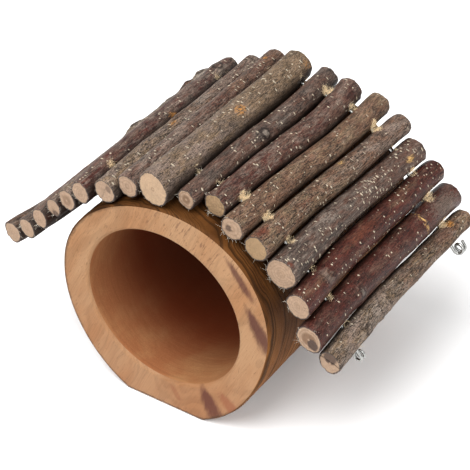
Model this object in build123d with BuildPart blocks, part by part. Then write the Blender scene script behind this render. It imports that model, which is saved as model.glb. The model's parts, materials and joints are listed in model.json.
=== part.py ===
# Wooden hamster tunnel: a bored log with a bendable stick bridge draped over it.
# Sizes are in millimetres. X runs across the tunnel, Y along it from the front mouth to the back, Z up.
# The origin is on the log's planed foot, under the bore, halfway along the log.
import math
import os
from collections import namedtuple

from build123d import *

# Hollow log: a slightly lobed round of wood, bored off its middle
LOG_LENGTH = 104
BORE_RADIUS = 35
LOG_WALL = 14.1
OVAL_RISE = 1.9
OVAL_AT = 68
LOBE_RISE = 1.3
LOBE_AT = 38
PITH_RIGHT = 0.9
PITH_DROP = 1.7
FOOT_CUT = 4.2
MOUTH_BEVEL = 1
RIM_BEVEL = 0.8
OUTLINE_POINTS = 18

# Bridge: a row of sticks strung on two wires
STICK_GAP = 0.7
SPLIT_GAP = 4
SPLIT_AFTER = 6
SEAT_GAP = 0.4
CROWN_OFFSET = -2.5
BRIDGE_MIDDLE = 2.5
WIRE_SPACING = 74
WIRE_DIAMETER = 1.2
HOLE_CLEARANCE = 0.8
WIRE_BEND = 2

# Wire ends: an eye of one and a half open turns outside each end stick
EYE_RADIUS = 1.9
EYE_PITCH = 1.9
EYE_QUARTERS = 6
EYE_CLEARANCE = 0.4
EYE_TAIL = 2.2
GAP_STEP = 0.25

# One row for each stick, from the left end of the bridge to the right: diameters of the front and back
# ends, swell of the radius between them, length, shift of its middle from the bridge's, rise of the bow
# between the wires, skew of the ends along the row, sway of the bow along the row, wave to both sides of
# the middle along the row, tilt of the back end towards the log in degrees, lean of the front saw cut in
# degrees, and the slope in degrees of the run to the next stick.
Stick = namedtuple("Stick", "front back swell length shift rise skew sway wave tilt lean slope")
STICKS = [
    Stick(9.8, 9, 0, 103, 0, 0.3, 0, 0, 0, 7.5, 10, 54),
    Stick(9.2, 8.6, 0, 103, -1, -0.3, 0, 0, 0, 3.5, 10, 64),
    Stick(9.4, 8.6, 0, 104, -0.5, 0.2, 0, 0.1, 0, 1, 12, 52),
    Stick(8.6, 8.4, 0, 102, -0.5, -0.2, 0, 0, 0, 0, 10, 45),
    Stick(9.6, 8.8, 0.1, 104, 0, 0.3, 0, 0, 0.1, 0, 12, 46),
    Stick(10, 9, 0.2, 106, 0, 0.4, -0.2, 0.2, 0.2, 0, 8, 25),
    Stick(10.6, 9.4, 0.2, 105, -1.5, 0, 0, 0.6, 0.4, 0, 6, 30),
    Stick(10, 10, 0, 104, -0.5, 0.3, 0.3, 0.8, 0.2, 0, 5, 17),
    Stick(14.6, 13, 0, 101, -3, 0.2, 0.4, 0.5, 0.2, 0, 6, -8),
    Stick(8.6, 9.6, 0.2, 99, -0.5, 0.5, 0.9, 0.6, 0.5, 0, 4, -8),
    Stick(10, 10.8, 0, 94, 0.5, -0.2, 1.6, 0.7, 0.6, 0, 4, -22),
    Stick(10.4, 10.2, -0.2, 102, 0.5, 0.3, 2.1, 0.3, 0.4, 0, 2, -32),
    Stick(10.8, 9.4, -0.1, 102, 1, -0.3, 2.1, -0.2, 0.3, 0, 0, -40),
    Stick(13.2, 11, -0.5, 97, 0.5, 0.5, 1.2, -0.7, 0.3, 0, -3, -47),
    Stick(11, 9.8, 0.4, 102, 0, -0.4, 0.5, -0.7, 0.3, 0, 3, -56),
    Stick(11.6, 11.8, 0, 107, 0, 0.5, 0.3, -0.8, 0.1, 0, 4, -50),
    Stick(10.2, 8.8, 0, 104, 0, -0.3, -0.2, -0.8, 0.1, 0, 5, -50),
]

FRONT_ROW = BRIDGE_MIDDLE - WIRE_SPACING / 2
REAR_ROW = BRIDGE_MIDDLE + WIRE_SPACING / 2
WIRE_HOLE = WIRE_DIAMETER + HOLE_CLEARANCE


# Shape of the log's outline about its pith, as a radius for an angle in radians
def log_radius(angle):
    oval = OVAL_RISE * math.cos(2 * (angle - math.radians(OVAL_AT)))
    lobe = LOBE_RISE * math.cos(3 * (angle - math.radians(LOBE_AT)))
    return BORE_RADIUS + LOG_WALL + oval + lobe


PITH_HEIGHT = log_radius(-math.pi / 2) - FOOT_CUT
BORE_HEIGHT = PITH_HEIGHT + PITH_DROP


# Shape of one stick at a place along Y
def stick_ends(stick):
    front = BRIDGE_MIDDLE - stick.length / 2 + stick.shift
    return front, front + stick.length


def stick_radius(stick, y):
    front, back = stick_ends(stick)
    share = (y - front) / (back - front)
    taper = (stick.front + (stick.back - stick.front) * share) / 2
    return taper + stick.swell * 4 * share * (1 - share)


def stick_bow(y):
    return 1 - ((y - BRIDGE_MIDDLE) / (WIRE_SPACING / 2)) ** 2


def stick_dip(stick, y):
    return math.tan(math.radians(stick.tilt)) * (y - BRIDGE_MIDDLE)


def stick_rise(stick, y):
    return stick.rise * stick_bow(y) - stick_dip(stick, y)


def stick_skew(stick, y):
    skew = stick.skew * (y - BRIDGE_MIDDLE) / (stick.length / 2)
    wave = stick.wave * math.sin(2 * math.pi * (y - BRIDGE_MIDDLE) / WIRE_SPACING)
    return skew + stick.sway * stick_bow(y) + wave


def stations(stick):
    front, back = stick_ends(stick)
    quarters = [FRONT_ROW + WIRE_SPACING * step / 4 for step in range(5)]
    return [front, *quarters, back]


# The row: how far apart neighbours stand, and how low the row settles on the log
def run_length(left):
    one, two = STICKS[left], STICKS[left + 1]
    gap = SPLIT_GAP if left + 1 == SPLIT_AFTER else STICK_GAP
    widths = []
    for y in stations(one) + stations(two):
        shift = stick_skew(one, y) - stick_skew(two, y)
        widths.append(stick_radius(one, y) + stick_radius(two, y) + shift)
    return max(widths) + gap


def run_step(left):
    slope = math.radians(STICKS[left].slope)
    return Vector(math.cos(slope), 0, math.sin(slope)) * run_length(left)


def drape():
    crown = max(range(len(STICKS)), key=lambda index: STICKS[index].front)
    centres = {crown: Vector(CROWN_OFFSET, 0, 0)}
    for right in range(crown + 1, len(STICKS)):
        centres[right] = centres[right - 1] + run_step(right - 1)
    for left in range(crown - 1, -1, -1):
        centres[left] = centres[left + 1] - run_step(left)
    return [centres[index] for index in range(len(STICKS))]


def log_clearance(index, centre):
    stick = STICKS[index]
    depth = max(stick_radius(stick, y) - stick_rise(stick, y) for y in stations(stick))
    across, up = centre.X - PITH_RIGHT, centre.Z - PITH_HEIGHT
    return math.hypot(across, up) - log_radius(math.atan2(up, across)) - depth


def settle(centres):
    low, high = PITH_HEIGHT, PITH_HEIGHT + 3 * (BORE_RADIUS + LOG_WALL)
    while high - low > SEAT_GAP / 100:
        height = Vector(0, 0, (low + high) / 2)
        if min(log_clearance(index, centre + height) for index, centre in enumerate(centres)) > SEAT_GAP:
            high = height.Z
        else:
            low = height.Z
    return [centre + Vector(0, 0, high) for centre in centres]


CENTRES = settle(drape())


# Bending points: the middle of the free gap between two neighbours, on the line of their centres
def bending_point(left):
    run = CENTRES[left + 1] - CENTRES[left]
    near = stick_radius(STICKS[left], BRIDGE_MIDDLE)
    far = stick_radius(STICKS[left + 1], BRIDGE_MIDDLE)
    return CENTRES[left] + run.normalized() * (near + (run.length - near - far) / 2)


BENDS = [bending_point(left) for left in range(len(STICKS) - 1)]


# Direction of the row at one stick, and the outward direction square to it
def stick_along(index):
    start = BENDS[index - 1] if index > 0 else CENTRES[index]
    end = BENDS[index] if index < len(BENDS) else CENTRES[index]
    return (end - start).normalized()


def stick_up(index):
    along = stick_along(index)
    return Vector(-along.Z, 0, along.X)


def stick_centre(index, y):
    stick = STICKS[index]
    offset = stick_along(index) * stick_skew(stick, y) + stick_up(index) * stick_rise(stick, y)
    return CENTRES[index] + offset + Vector(0, y, 0)


# Where a wire bends between two neighbours, its straight run through one stick, and that run's direction
def row_offset(index, row):
    stick = STICKS[index]
    aside = stick_along(index) * stick_skew(stick, row) - stick_up(index) * stick_dip(stick, row)
    return aside + Vector(0, row, 0)


def wire_bend(left, row):
    return BENDS[left] + (row_offset(left, row) + row_offset(left + 1, row)) * 0.5


def wire_run(index, row):
    middle = CENTRES[index] + row_offset(index, row)
    start = wire_bend(index - 1, row) if index > 0 else middle
    end = wire_bend(index, row) if index < len(BENDS) else middle
    return start, end


def wire_along(index, row):
    start, end = wire_run(index, row)
    return (end - start).normalized()


def section_plane(index, y, lean):
    turn = math.radians(lean)
    across = (math.cos(turn), -math.sin(turn), 0)
    return Plane(stick_centre(index, y), x_dir=across, z_dir=(math.sin(turn), math.cos(turn), 0))


# Wire routes: points with their directions along an eye, going away from the stick
def eye_nodes(index, y, away, side):
    run = wire_along(index, y)
    along = run * away
    inward = Vector(-run.Z, 0, run.X) * side
    reach = stick_radius(STICKS[index], y) + EYE_RADIUS + WIRE_DIAMETER / 2 + EYE_CLEARANCE
    start = CENTRES[index] + row_offset(index, y) + along * reach
    climb = math.atan(EYE_PITCH / (2 * math.pi * EYE_RADIUS))
    nodes = [(start, along)]
    for quarter in range(1, EYE_QUARTERS + 1):
        turn = quarter * math.pi / 2
        ring = along * math.sin(turn) + inward * (1 - math.cos(turn))
        point = start + ring * EYE_RADIUS + Vector(0, EYE_PITCH * quarter / 4, 0)
        flat = along * math.cos(turn) + inward * math.sin(turn)
        nodes.append((point, flat * math.cos(climb) + Vector(0, math.sin(climb), 0)))
    return nodes


# Two tangent arcs that join one point and direction to the next
def draw_biarc(start, start_way, end, end_way):
    chord = end - start
    ways = start_way + end_way
    a = 2 * (1 - start_way.dot(end_way))
    b = 2 * chord.dot(ways)
    reach = (math.sqrt(b * b + 4 * a * chord.dot(chord)) - b) / (2 * a)
    middle = (start + end + (start_way - end_way) * reach) * 0.5
    TangentArc(start, middle, tangent=start_way)
    TangentArc(middle, end, tangent=(chord - ways * reach).normalized())


def draw_eye(nodes):
    for (start, start_way), (end, end_way) in zip(nodes, nodes[1:]):
        draw_biarc(start, start_way, end, end_way)
    tip, way = nodes[-1]
    Line(tip, tip + way * EYE_TAIL)


# Least free gap between turns that lie at least half a turn apart along the wire
def least_gap(wire):
    count = math.ceil(wire.length / GAP_STEP)
    points = [tuple(wire @ (step / count)) for step in range(count + 1)]
    apart = math.ceil(math.pi * EYE_RADIUS / GAP_STEP)
    gaps = [
        math.dist(points[one], points[two])
        for one in range(len(points))
        for two in range(one + apart, len(points))
    ]
    return min(gaps) - WIRE_DIAMETER


os.makedirs("parts", exist_ok=True)

# Log
with BuildPart() as tunnel_log:
    with BuildSketch(Plane.XZ):
        with BuildLine():
            angles = [2 * math.pi * step / OUTLINE_POINTS for step in range(OUTLINE_POINTS)]
            trunk = [
                (PITH_RIGHT + log_radius(a) * math.cos(a), PITH_HEIGHT + log_radius(a) * math.sin(a))
                for a in angles
            ]
            Spline(*trunk, periodic=True)
        make_face()
    extrude(amount=LOG_LENGTH / 2, both=True)
    split(bisect_by=Plane.XY, keep=Keep.TOP)
    ends = tunnel_log.faces().filter_by(Axis.Y)
    chamfer(ends.edges(), length=RIM_BEVEL)
    with BuildSketch(Plane.XZ):
        with Locations((0, BORE_HEIGHT)):
            Circle(BORE_RADIUS)
    extrude(amount=LOG_LENGTH / 2, both=True, mode=Mode.SUBTRACT)
    mouths = tunnel_log.edges().filter_by(GeomType.CIRCLE)
    chamfer(mouths, length=MOUTH_BEVEL)
tunnel_log.part.label = "tunnel_log"
export_step(tunnel_log.part, "parts/tunnel_log.step")

# Sticks
for index, stick in enumerate(STICKS):
    with BuildPart() as stick_piece:
        for place, y in enumerate(stations(stick)):
            with BuildSketch(section_plane(index, y, stick.lean if place == 0 else 0)):
                Circle(stick_radius(stick, y))
        loft()
        for row in (FRONT_ROW, REAR_ROW):
            start, end = wire_run(index, row)
            with BuildSketch(Plane((start + end) * 0.5, x_dir=(0, 1, 0), z_dir=wire_along(index, row))):
                Circle(WIRE_HOLE / 2)
            extrude(amount=stick.front, both=True, mode=Mode.SUBTRACT)
    stick_piece.part.label = f"stick_{index + 1:02d}"
    export_step(stick_piece.part, f"parts/{stick_piece.part.label}.step")

# Wires, each one unbroken length from the left eye through every stick to the right eye
for name, row, side in (("front_wire", FRONT_ROW, -1), ("rear_wire", REAR_ROW, 1)):
    left_eye = eye_nodes(0, row, -1, side)
    right_eye = eye_nodes(len(STICKS) - 1, row, 1, side)
    through = [wire_bend(left, row) for left in range(len(BENDS))]
    with BuildPart() as wire_piece:
        with BuildLine() as route:
            draw_eye(left_eye)
            FilletPolyline(left_eye[0][0], *through, right_eye[0][0], radius=WIRE_BEND)
            draw_eye(right_eye)
        centre_line = route.wire()
        with BuildSketch(Plane(centre_line @ 0, z_dir=centre_line % 0)):
            Circle(WIRE_DIAMETER / 2)
        sweep(path=centre_line)
    wire_piece.part.label = name
    export_step(wire_piece.part, f"parts/{name}.step")
    drawn = math.pi * WIRE_DIAMETER**2 / 4 * centre_line.length
    print(f"{name}: length {centre_line.length:.2f}, least gap to itself {least_gap(centre_line):.2f}")
    print(f"{name}: volume {wire_piece.part.volume:.2f} of {drawn:.2f} for section times length")

for index, centre in enumerate(CENTRES):
    clear = log_clearance(index, centre)
    print(f"stick {index + 1}: centre {centre.X:.2f} {centre.Z:.2f}, clear of log {clear:.2f}")
for index, bend in enumerate(BENDS):
    turn = stick_along(index).get_signed_angle(stick_along(index + 1), Vector(0, 1, 0))
    axis = (wire_bend(index, REAR_ROW) - wire_bend(index, FRONT_ROW)).normalized()
    print(f"bend {index + 1} to {index + 2}: at {bend.X:.3f} {bend.Z:.3f}, turned {turn:.2f} degrees")
    print(f"  axis {axis.X:.5f} {axis.Y:.5f} {axis.Z:.5f} at {BRIDGE_MIDDLE} along the tunnel")
print(f"bore height {BORE_HEIGHT:.3f}, pith height {PITH_HEIGHT:.3f}")
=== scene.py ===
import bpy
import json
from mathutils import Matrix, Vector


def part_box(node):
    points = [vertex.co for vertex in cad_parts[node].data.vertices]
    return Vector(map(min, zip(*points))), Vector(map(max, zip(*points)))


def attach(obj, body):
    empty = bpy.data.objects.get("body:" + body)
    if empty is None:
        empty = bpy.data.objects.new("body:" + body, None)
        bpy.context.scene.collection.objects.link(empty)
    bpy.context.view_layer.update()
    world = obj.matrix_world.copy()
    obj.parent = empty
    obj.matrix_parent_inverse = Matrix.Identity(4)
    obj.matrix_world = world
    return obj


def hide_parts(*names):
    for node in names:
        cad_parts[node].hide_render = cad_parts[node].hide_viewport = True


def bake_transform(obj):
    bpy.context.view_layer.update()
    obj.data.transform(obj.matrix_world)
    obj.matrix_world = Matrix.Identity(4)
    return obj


bl_info = {
    "name": "Hamster tunnel",
    "version": (1, 0, 0),
    "blender": (4, 5, 0),
    "location": "3D View > Sidebar > Tunnel",
    "description": "Dresses the hamster tunnel: turned wood, barked sticks with sawn ends, bright wire",
    "category": "Object",
}

import json
import math
from collections import namedtuple

import bpy
import numpy as np
from bpy.props import FloatProperty, FloatVectorProperty, IntProperty, PointerProperty
from mathutils import Vector, noise
from numpy.polynomial import Polynomial

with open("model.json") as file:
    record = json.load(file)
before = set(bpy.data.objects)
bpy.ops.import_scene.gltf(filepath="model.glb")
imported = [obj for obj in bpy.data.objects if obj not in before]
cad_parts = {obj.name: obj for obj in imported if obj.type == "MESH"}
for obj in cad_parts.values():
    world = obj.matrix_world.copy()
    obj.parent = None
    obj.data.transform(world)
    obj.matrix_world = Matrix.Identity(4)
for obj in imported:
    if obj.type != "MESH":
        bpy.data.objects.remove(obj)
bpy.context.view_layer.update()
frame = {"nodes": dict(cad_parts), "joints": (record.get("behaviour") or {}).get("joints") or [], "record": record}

MM = 0.001
WIRES = ("front_wire", "rear_wire")


def paint(code):
    """Linear colour for a six-digit screen colour."""
    parts = [int(code[start:start + 2], 16) / 255 for start in (0, 2, 4)]
    return tuple(p / 12.92 if p <= 0.04045 else ((p + 0.055) / 1.055) ** 2.4 for p in parts)


def colour_property(name, description, code):
    """A colour that starts as a six-digit screen colour."""
    return FloatVectorProperty(name=name, description=description, subtype="COLOR", default=paint(code))


def length_property(name, description, size):
    """A length that starts as a size in millimetres."""
    return FloatProperty(name=name, description=description, unit="LENGTH", default=size * MM)


def angle_property(name, description, degrees):
    return FloatProperty(name=name, description=description, subtype="ANGLE", default=math.radians(degrees))


# The sticks, from the left end of the bridge to the right. Bark colours are names of BranchLook colours.
# A knot or spot is placed by millimetres from the front end and by degrees round from the outward side.
Knot = namedtuple("Knot", "at turn rise long wide")
Spot = namedtuple("Spot", "at turn long wide colour strength")
Cut = namedtuple(
    "Cut",
    "wood ring ring_gap heart heart_reach stain stain_right stain_up stain_reach "
    "crack_turn crack_depth crack_up",
    defaults=("sapwood", 0.3, 1.1, 0.25, 0.45, 0.0, 0.0, 0.0, 1.5, 0.0, 0.0, 0.0),
)
Branch = namedtuple(
    "Branch",
    "slot main back patch share bloom rough coarse soot dots dash furrow tufts knots spots cut",
    defaults=((0.2, 0.2, 0.2, 0.2), (), (), Cut()),
)
# A branch has its slot, its bark's colours at the front, at the back and in patches, the share of patches,
# the strength of the film, the roughness, the coarseness of the fibres, the soot, the dots per square
# centimetre and their stretch, the depth of the furrows, its tufts, knots and spots, and its saw cuts.
# Tufts are the torn fibres at the wire holes: front left, front right, rear left, rear right.
BRANCHES = (
    Branch("grey_bark", "brown", "grey", "dark", 0.3, 0.4, 0.7, 0.65, 0.2, 5, 1.4, 0.10),
    Branch("grey_bark", "grey", "brown", "dark", 0.3, 0.4, 0.7, 0.65, 0.2, 5, 1.4, 0.10),
    Branch("red_bark", "red", "brown", "grey", 0.4, 0.3, 0.6, 0.6, 0.2, 5, 1.4, 0.08),
    Branch("grey_bark", "grey", "brown", "red", 0.3, 0.3, 0.65, 0.6, 0.2, 5, 1.4, 0.08,
           knots=(Knot(97, 2, 1.4, 4, 3),),
           cut=Cut(stain=0.8, stain_right=1.2, stain_up=-2.2, stain_reach=1.8)),
    Branch("red_bark", "grey", "film", "olive", 0.3, 0.4, 0.65, 0.6, 0.1, 6, 1.4, 0.08,
           knots=(Knot(51, 0, 1.7, 5, 3.4), Knot(97, 0, 2.0, 5, 3.4), Knot(74, 8, 0.8, 6, 3)),
           cut=Cut(heart=0.7, heart_reach=0.8)),
    Branch("red_bark", "purple", "grey", "maroon", 0.4, 0.5, 0.55, 0.6, 0.15, 6, 1.5, 0.07,
           tufts=(0.3, 0.7, 0.3, 0.4),
           knots=(Knot(96, 32, 1.2, 5, 3.5), Knot(79, -20, 0.7, 5, 3)),
           spots=(Spot(75, -40, 8, 3, "olive", 0.8), Spot(58, 79, 3, 1.6, "orange", 0.8)), cut=Cut(ring=0.5)),
    Branch("grey_bark", "olive", "purple", "grey", 0.45, 0.35, 0.7, 0.75, 0.08, 6, 1.7, 0.11,
           knots=(Knot(52, -10, 0.5, 5, 4), Knot(28, 20, 0.4, 4, 3)),
           spots=(Spot(45, 25, 3, 1.6, "orange", 0.7), Spot(29, 23, 3, 1.5, "orange", 0.5),
                  Spot(64, 10, 8, 4, "film", 0.6)),
           cut=Cut(stain=0.6, stain_right=2.0, stain_up=1.6, stain_reach=1.5,
                   crack_turn=68, crack_depth=0.06)),
    Branch("grey_bark", "grey", "brown", "purple", 0.4, 0.4, 0.6, 0.65, 0.08, 6, 1.6, 0.08,
           spots=(Spot(95, 14, 1.6, 1.2, "orange", 1.0), Spot(58, 24, 16, 4, "red", 0.6)),
           cut=Cut(ring=0.6, ring_gap=1.4)),
    Branch("olive_bark", "grey", "olive", "olive", 0.4, 0.3, 0.6, 0.6, 0.0, 7, 1.9, 0.06,
           tufts=(0.1, 0.2, 0.1, 0.2),
           knots=(Knot(53, 26, 0.3, 2.4, 2.2),),
           spots=(Spot(53, 26, 3.0, 2.8, "orange", 1.0), Spot(98, 60, 4, 3, "orange", 0.6)),
           cut=Cut(wood="creamwood", ring=0.2, heart=0.6, heart_reach=0.26)),
    Branch("red_bark", "purple", "purple", "dark", 0.35, 0.35, 0.55, 0.55, 0.2, 6, 1.5, 0.06,
           tufts=(0.2, 0.2, 0.2, 0.9),
           knots=(Knot(46, 34, 1.3, 4.4, 4.2), Knot(59, 28, -0.5, 9, 0.7)),
           spots=(Spot(46, 34, 3.0, 2.8, "film", 1.0), Spot(59, 34, 8, 0.6, "film", 0.9)),
           cut=Cut(ring=0.9, ring_gap=1.7, heart=0.9, heart_reach=0.75)),
    Branch("grey_bark", "purple", "purple", "maroon", 0.3, 0.45, 0.6, 0.6, 0.2, 7, 1.5, 0.07,
           tufts=(0.2, 1.0, 0.9, 0.6),
           spots=(Spot(34, -38, 12, 3, "film", 0.6), Spot(17, 10, 8, 3, "maroon", 0.6)),
           cut=Cut(wood="yellowwood", ring=0.6, ring_gap=1.2)),
    Branch("olive_bark", "brown", "brown", "olive", 0.35, 0.25, 0.65, 0.65, 0.08, 6, 1.4, 0.07,
           tufts=(0.9, 0.8, 0.3, 1.0),
           knots=(Knot(58, 60, 0.6, 5, 3),),
           cut=Cut(ring=0.5, ring_gap=1.6, stain=0.8, stain_right=-1.4, stain_up=-0.2, stain_reach=1.7)),
    Branch("olive_bark", "olive", "grey", "brown", 0.4, 0.35, 0.65, 0.75, 0.06, 6, 1.4, 0.10,
           tufts=(0.7, 0.4, 0.9, 0.2),
           spots=(Spot(4, -35, 5, 3.4, "red", 0.9), Spot(31, -2, 9, 2, "red", 0.6),
                  Spot(60, -52, 2, 1.4, "straw", 0.8)),
           cut=Cut(wood="yellowwood", ring=0.15, heart=0.05)),
    Branch("grey_bark", "dark", "purple", "purple", 0.3, 0.5, 0.55, 0.5, 0.35, 15, 1.6, 0.06,
           tufts=(0.5, 0.3, 0.2, 0.7),
           spots=(Spot(1, -10, 1.6, 2.2, "red", 0.9), Spot(86, 12, 3, 1.5, "straw", 0.9),
                  Spot(32, -38, 9, 4, "film", 0.6)),
           cut=Cut(ring=0.45)),
    Branch("red_bark", "maroon", "maroon", "brown", 0.25, 0.08, 0.42, 0.5, 0.6, 9, 1.2, 0.05,
           tufts=(0.2, 0.5, 0.4, 1.0),
           knots=(Knot(14, -6, 0.5, 1.2, 6), Knot(19, -10, 0.4, 3, 3)),
           spots=(Spot(16.5, -8, 4, 5, "grey", 0.9), Spot(45, -30, 16, 2.6, "red", 0.9)),
           cut=Cut(ring=0.35)),
    Branch("red_bark", "maroon", "maroon", "purple", 0.25, 0.08, 0.4, 0.5, 0.75, 5, 1.4, 0.05,
           tufts=(0.3, 0.2, 0.8, 0.8),
           knots=(Knot(30, 8, 0.7, 3, 5), Knot(79, -21, 0.7, 1.2, 6)),
           spots=(Spot(30, 12, 2.6, 4, "film", 0.8), Spot(79, -15, 1.3, 6, "straw", 0.9),
                  Spot(95, 0, 13, 7, "grey", 0.9)),
           cut=Cut(ring=0.9, ring_gap=1.5, heart=1.0, heart_reach=0.85,
                   stain=1.0, stain_right=1.8, stain_up=-1.7, stain_reach=2.6)),
    Branch("grey_bark", "grey", "brown", "olive", 0.4, 0.6, 0.75, 0.7, 0.1, 5, 1.4, 0.14,
           tufts=(0.1, 0.1, 0.8, 0.1),
           knots=(Knot(22, 20, 0.9, 4, 4), Knot(34, 10, 0.7, 1.4, 6), Knot(40, -5, 0.6, 1.4, 6),
                  Knot(60, 10, 0.4, 6, 4)),
           spots=(Spot(30, -10, 10, 6, "film", 0.6), Spot(40, -20, 3, 4, "olive", 0.7),
                  Spot(84, -33, 12, 4, "purple", 0.8), Spot(92, -48, 3, 2.4, "orange", 1.0)),
           cut=Cut(stain=0.9, stain_right=0.0, stain_up=2.4, stain_reach=3.0,
                   crack_turn=-12, crack_depth=0.4, crack_up=0.7)),
)

# Dark streaks in the turned wood of the front face, from one end to the other, as right and up from the foot
Streak = namedtuple("Streak", "start end half_width wedge colour strength")
STREAKS = (
    Streak((29.0, 87.0), (42.0, 70.5), 2.1, 0.1, "streak", 0.8),
    Streak((37.5, 69.0), (50.0, 47.5), 3.6, 0.6, "streak", 0.9),
    Streak((17.4, 19.0), (26.0, 3.0), 4.2, 0.45, "streak", 0.95),
    Streak((26.0, 19.5), (36.0, 9.0), 3.4, 0.2, "rust", 0.75),
    Streak((3.0, 13.0), (8.0, 5.0), 1.6, 0.0, "rust", 0.4),
)


class LogLook(bpy.types.PropertyGroup):
    """Colours and sizes of the turned wooden tunnel"""

    face: colour_property("Face", "Sanded end face", "987555")
    warm: colour_property("Warm", "Warmer bands of the wood", "8f6644")
    bore: colour_property("Bore", "Wall of the bore", "845436")
    # Painted shade: the colour the bore wall is darkened to away from the mouths.
    painted_deep_shade: colour_property("Deep", "Shade of the bore's middle", "592410")
    side: colour_property("Side", "Outer wall", "835329")
    dusk: colour_property("Dusk", "Darker bands of the outer wall", "633c1d")
    # Line is also the colour of the dark rim at left and foot, partly stain and partly painted shade.
    line: colour_property("Line", "Late growth line", "33200f")
    streak: colour_property("Streak", "Heartwood streak", "48251d")
    # Rust-red is also used for the painted shade at the foot of the front face.
    rust: colour_property("Rust", "Red-brown smudge", "7d4930")
    rim_bevel: length_property("Rim bevel", "Broken edge at the outer rim", 0.8)
    mouth_bevel: length_property("Mouth bevel", "Broken edge at the mouth", 1.0)
    relief: length_property("Relief", "Depth of the raised grain outside", 0.3)
    grain_turn: angle_property("Grain turn", "Lean of the fibres in the end face", -26)
    ring_gap: length_property("Ring gap", "Distance between growth lines", 1.4)


class BranchLook(bpy.types.PropertyGroup):
    """Colours and sizes of the barked sticks"""

    grey: colour_property("Grey", "Grey bark", "5a4c43")
    dark: colour_property("Dark", "Dark bark", "3d322c")
    olive: colour_property("Olive", "Olive bark", "5a4938")
    brown: colour_property("Brown", "Brown bark", "513a2c")
    red: colour_property("Red", "Red-brown bark", "492519")
    maroon: colour_property("Maroon", "Maroon bark", "3a1b15")
    purple: colour_property("Purple", "Purple-grey bark", "473229")
    orange: colour_property("Orange", "Fresh scar", "8e6130")
    straw: colour_property("Straw", "Torn scar", "b08c56")
    tuft: colour_property("Tuft", "Torn fibres at the holes", "f2d8ae")
    film: colour_property("Film", "Silvery film on the bark", "6d635a")
    # Furrow is also the colour of the painted shade at the sides of the sticks and in the wire holes.
    furrow: colour_property("Furrow", "Bottom of the furrows", "1d1512")
    dot: colour_property("Dot", "Raised pale dots of the bark", "aa9d88")
    fuzz: colour_property("Fuzz", "Pale fibres at the saw cuts", "e4dac8")
    sapwood: colour_property("Sapwood", "Sawn end", "987e67")
    creamwood: colour_property("Cream wood", "Palest sawn end", "a3886c")
    yellowwood: colour_property("Yellow wood", "Yellowish sawn end", "8d7252")
    heart: colour_property("Heart", "Darker middle of a sawn end", "70543d")
    stain: colour_property("Stain", "Brown stain on a sawn end", "432f24")
    columns: IntProperty(name="Columns", description="Faces round a stick", default=88, min=24)
    ring_step: length_property("Ring step", "Length of a face along a stick", 0.55)
    lumps: length_property("Lumps", "Height of the slow swellings", 0.45)
    bark_edge: length_property("Bark edge", "Thickness of the bark at a sawn end", 0.45)
    dot_size: length_property("Dot size", "Half width of a middling dot", 0.28)
    splinter_length: length_property("Splinter length", "Longest torn fibre", 2.6)
    splinter_width: length_property("Splinter width", "Half width of a torn fibre", 0.032)


class WireLook(bpy.types.PropertyGroup):
    """Sizes and colour of the two bending wires"""

    steel: colour_property("Steel", "Bright drawn wire", "a3a3a0")
    diameter: length_property("Diameter", "Thickness of the wire", 1.2)
    bend: length_property("Bend", "Length of the rounded bend in each gap", 1.6)
    eye_radius: length_property("Eye radius", "Radius of an end eye", 1.9)
    eye_pitch: length_property("Eye pitch", "Rise of an eye in one turn", 1.9)
    eye_turns: FloatProperty(name="Eye turns", description="Turns of an end eye", default=1.5)
    eye_clearance: length_property("Eye clearance", "Gap from the bark to an eye", 0.4)
    eye_tail: length_property("Eye tail", "Straight tail of an eye", 2.2)


class StageLook(bpy.types.PropertyGroup):
    """Floor, lights and camera"""

    floor: FloatVectorProperty(name="Floor", description="Pale floor", subtype="COLOR",
                               default=(0.93, 0.93, 0.93))
    sky: FloatProperty(name="Sky", description="Brightness of the surroundings", default=0.65)
    key: FloatProperty(name="Key", description="Main soft light", unit="POWER", default=23.5)
    fill: FloatProperty(name="Fill", description="Second soft light", unit="POWER", default=6.5)
    target: FloatVectorProperty(name="Target", description="Point at the middle of the picture",
                                subtype="TRANSLATION", default=(33.46 * MM, -52 * MM, 99.08 * MM))
    turn: angle_property("Turn", "Camera's turn to the right", 33.215)
    lift: angle_property("Lift", "Camera's height as an angle", 37.645)
    distance: FloatProperty(name="Distance", description="Camera to target", unit="LENGTH", default=0.72)
    lens: FloatProperty(name="Lens", description="Focal length in millimetres", default=153.19)


# Measuring the solids in the frame, in millimetres.
# A face belongs to the front saw cut if it is turned this far forwards and lies this near to the end.
CUT_FACING = 0.9
CUT_REACH = 2.5
# A stick's sections stand evenly, clear of its ends and wire holes, and curves are laid through them.
STATIONS = 48
FRONT_MARGIN = 2.3
BACK_MARGIN = 0.5
HOLE_MARGIN = 1.6
CURVE_DEGREE = 7


def read_lines(node):
    """Vertices and edges of a solid."""
    mesh = frame["nodes"][node].data
    places = np.empty(3 * len(mesh.vertices), dtype=np.float32)
    mesh.vertices.foreach_get("co", places)
    pairs = np.empty(2 * len(mesh.edges), dtype=np.int32)
    mesh.edges.foreach_get("vertices", pairs)
    return places.reshape(-1, 3).astype(float) / MM, pairs.reshape(-1, 2)


def slice_solid(lines, y):
    """Points where a solid's edges cross the plane at y, as right and up."""
    places, pairs = lines
    ends = places[pairs]
    crossing = (ends[:, 0, 1] < y) != (ends[:, 1, 1] < y)
    start, end = ends[crossing, 0], ends[crossing, 1]
    share = (y - start[:, 1]) / (end[:, 1] - start[:, 1])
    return (start + (end - start) * share[:, None])[:, [0, 2]]


def measure_round(lines, y):
    """Middle and radius of a round section."""
    points = slice_solid(lines, y)
    low, high = points.min(axis=0), points.max(axis=0)
    return (*(low + high) / 2, (high - low).mean() / 2)


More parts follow.
